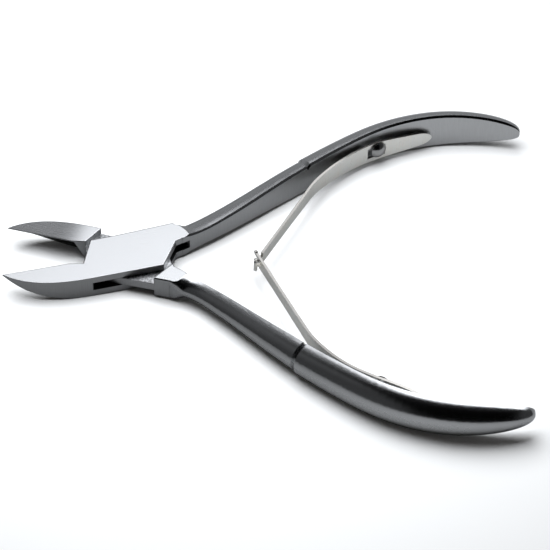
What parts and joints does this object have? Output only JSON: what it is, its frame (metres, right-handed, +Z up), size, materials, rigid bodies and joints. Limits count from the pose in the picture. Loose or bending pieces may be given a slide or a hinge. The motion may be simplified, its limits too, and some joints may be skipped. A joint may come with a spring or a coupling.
{
  "type": "cuticle nipper",
  "caption": "Box-joint cuticle nipper with bowed handles held open by interlocking leaf springs, and short jaws that meet edge to edge.",
  "frame": {"origin": "where the pivot axis meets the flat underside of the box joint", "axes": "+X from the pivot towards the grips, so the jaws are on the -X side; +Y towards the handle of the slotted lever (the far one); +Z up along the pivot axis. Drawn at rest, held open by the springs."},
  "size_m": [0.116, 0.0997, 0.0094],
  "materials": {
    "ground_steel": "satin, fine grinding lines across the flat faces",
    "pin_steel": "satin, ground flush with the box",
    "spring_steel": "satin, slightly warm",
    "stud_steel": "polished"
  },
  "bodies": {
    "slotted_half": {"slotted_lever": "ground_steel", "pivot_pin": "pin_steel", "stud_far": "stud_steel"},
    "through_half": {"through_lever": "ground_steel", "stud_near": "stud_steel"},
    "tee_spring": {"leaf_tee": "spring_steel"},
    "fork_spring": {"leaf_fork": "spring_steel"}
  },
  "joints": [
    {"name": "lever_pivot", "type": "hinge", "parent": "slotted_half", "child": "through_half", "pos_m": [0, 0, 0.0027], "axis": [0, 0, 1], "range_deg": [0, 29.8], "stiffness_Nm_per_rad": 0.22},
    {"name": "tee_spring_flex", "type": "hinge", "parent": "slotted_half", "child": "tee_spring", "pos_m": [0.0549, 0.03877, 0.0027], "axis": [0, 0, 1], "range_deg": [-11.4, 0], "deforming": ["leaf_tee"]},
    {"name": "fork_spring_flex", "type": "hinge", "parent": "through_half", "child": "fork_spring", "pos_m": [0.05531, -0.03809, 0.0037], "axis": [0, 0, 1], "range_deg": [0, 11.4], "deforming": ["leaf_fork"]}
  ],
  "couplings": [
    {"joint": "tee_spring_flex", "follows": "lever_pivot", "ratio": -0.38},
    {"joint": "fork_spring_flex", "follows": "lever_pivot", "ratio": 0.38}
  ]
}
